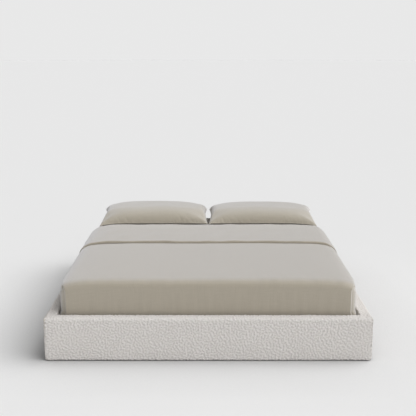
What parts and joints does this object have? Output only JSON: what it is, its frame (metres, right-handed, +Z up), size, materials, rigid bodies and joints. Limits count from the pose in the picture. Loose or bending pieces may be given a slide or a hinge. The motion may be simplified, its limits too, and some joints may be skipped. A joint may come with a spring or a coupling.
{
  "type": "upholstered platform bed",
  "caption": "Low king-size platform bed: boucle-covered box rails round a recessed mattress, made up with a tucked linen coverlet, a turned-down band and king pillows.",
  "frame": {"origin": "on the floor under the middle of the bed", "axes": "+X to the right seen from the foot, +Y from the foot towards the head, +Z up"},
  "size_m": [2.14, 2.24, 0.6557],
  "materials": {
    "boucle": "matte",
    "softwood": "matte",
    "plywood": "matte",
    "slat_wood": "satin",
    "foam": "matte",
    "zinc_steel": "satin",
    "black_bolts": "satin",
    "black_steel": "satin",
    "dark_plastic": "matte",
    "webbing": "matte",
    "ticking": "matte",
    "sheet_cotton": "matte",
    "linen": "matte",
    "pillow_fill": "matte",
    "pillow_linen": "matte"
  },
  "bodies": {
    "frame": {"foot_rail_frame": "softwood", "foot_rail_panels": "plywood", "foot_rail_foam": "foam", "foot_rail_cover": "boucle", "head_rail_frame": "softwood", "head_rail_panels": "plywood", "head_rail_foam": "foam", "head_rail_cover": "boucle", "left_rail_frame": "softwood", "left_rail_panels": "plywood", "left_rail_foam": "foam", "left_rail_cover": "boucle", "right_rail_frame": "softwood", "right_rail_panels": "plywood", "right_rail_foam": "foam", "right_rail_cover": "boucle", "corner_brackets": "zinc_steel", "bracket_bolts": "black_bolts", "threaded_inserts": "zinc_steel", "left_ledger": "softwood", "right_ledger": "softwood", "foot_ledgers": "softwood", "head_ledgers": "softwood", "ledger_screws": "zinc_steel", "centre_beam": "black_steel", "beam_hanger_foot": "zinc_steel", "beam_hanger_head": "zinc_steel", "hanger_screws": "zinc_steel", "centre_leg_1": "black_steel", "centre_leg_2": "black_steel", "centre_leg_3": "black_steel", "leg_screws": "zinc_steel", "slat_01": "slat_wood", "slat_02": "slat_wood", "slat_03": "slat_wood", "slat_04": "slat_wood", "slat_05": "slat_wood", "slat_06": "slat_wood", "slat_07": "slat_wood", "slat_08": "slat_wood", "slat_09": "slat_wood", "slat_10": "slat_wood", "slat_11": "slat_wood", "slat_12": "slat_wood", "slat_webbing": "webbing", "slat_screws": "zinc_steel", "rail_glides": "dark_plastic", "glide_screws": "zinc_steel"},
    "mattress": {"mattress_base_foam": "foam", "mattress_comfort_foam": "foam", "mattress_cover": "ticking", "fitted_sheet": "sheet_cotton", "coverlet": "linen"},
    "pillow_left": {"pillow_insert_left": "pillow_fill", "pillowcase_left": "pillow_linen"},
    "pillow_right": {"pillow_insert_right": "pillow_fill", "pillowcase_right": "pillow_linen"},
    "foot_screw_1": {"levelling_foot_1": "dark_plastic"},
    "foot_screw_2": {"levelling_foot_2": "dark_plastic"},
    "foot_screw_3": {"levelling_foot_3": "dark_plastic"}
  },
  "joints": [
    {"name": "mattress_lift", "type": "slide", "parent": "frame", "child": "mattress", "axis": [0, 0, 1], "range_m": [0, 0.3]},
    {"name": "pillow_left_lift", "type": "slide", "parent": "mattress", "child": "pillow_left", "axis": [0, 0, 1], "range_m": [0, 0.25]},
    {"name": "pillow_right_lift", "type": "slide", "parent": "mattress", "child": "pillow_right", "axis": [0, 0, 1], "range_m": [0, 0.25]},
    {"name": "foot_screw_1_turn", "type": "slide", "parent": "frame", "child": "foot_screw_1", "axis": [0, 0, -1], "range_m": [0, 0.015]},
    {"name": "foot_screw_2_turn", "type": "slide", "parent": "frame", "child": "foot_screw_2", "axis": [0, 0, -1], "range_m": [0, 0.015]},
    {"name": "foot_screw_3_turn", "type": "slide", "parent": "frame", "child": "foot_screw_3", "axis": [0, 0, -1], "range_m": [0, 0.015]}
  ]
}
